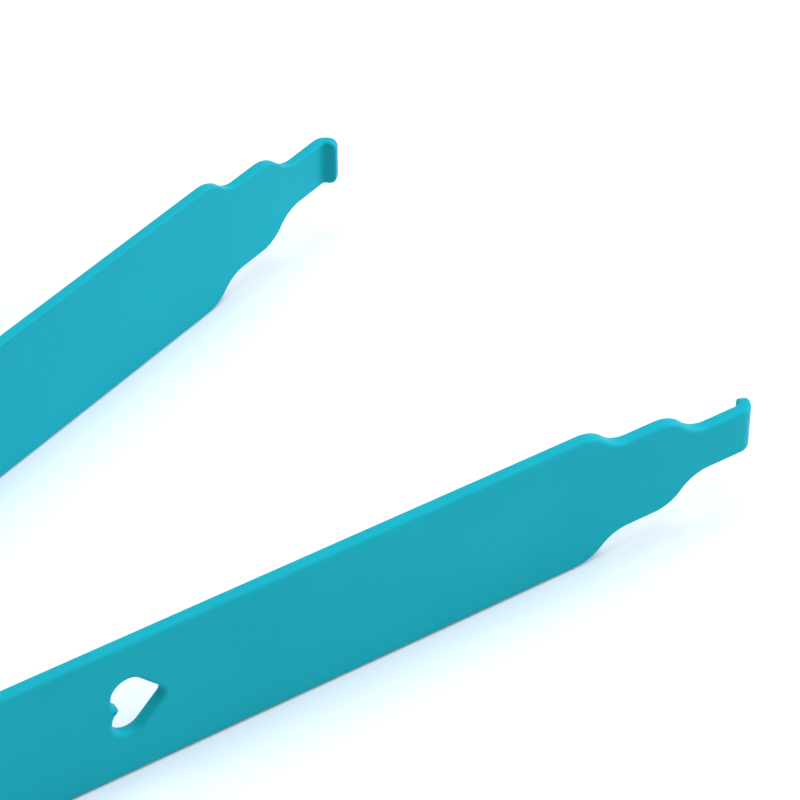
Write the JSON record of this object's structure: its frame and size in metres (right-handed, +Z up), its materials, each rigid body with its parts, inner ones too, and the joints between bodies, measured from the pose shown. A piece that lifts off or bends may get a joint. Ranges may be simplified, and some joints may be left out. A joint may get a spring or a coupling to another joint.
{
  "type": "hooked tweezer puller",
  "caption": "Tweezer-style puller: coated spring blades open in a V, step down in width to narrow tips with inward hooks, and are riveted to a spacer at the heel.",
  "frame": {"origin": "centre of the bounding box's bottom: under the middle of the tool's length and width, on the plane that the lower blade edges stand on", "axes": "+X from the riveted heel towards the hooks, +Y from the right blade to the left blade, +Z up across the strip's width"},
  "size_m": [0.1198, 0.0394, 0.01],
  "materials": {
    "blade_coating": "satin",
    "spacer_coating": "satin",
    "rivet_steel": "satin"
  },
  "bodies": {
    "root": {"left_blade_heel": "blade_coating", "right_blade_heel": "blade_coating", "spacer": "spacer_coating", "front_rivet": "rivet_steel", "rear_rivet": "rivet_steel"},
    "left_arm": {"left_blade_arm": "blade_coating"},
    "right_arm": {"right_blade_arm": "blade_coating"}
  },
  "joints": [
    {"name": "left_arm_flex", "type": "hinge", "parent": "root", "child": "left_arm", "pos_m": [-0.03016, 0.00392, 0.005], "axis": [0, 0, -1], "range_deg": [0, 11.4], "stiffness_Nm_per_rad": 1.8},
    {"name": "right_arm_flex", "type": "hinge", "parent": "root", "child": "right_arm", "pos_m": [-0.03016, -0.00392, 0.005], "axis": [0, 0, 1], "range_deg": [0, 11.4], "stiffness_Nm_per_rad": 1.8}
  ]
}
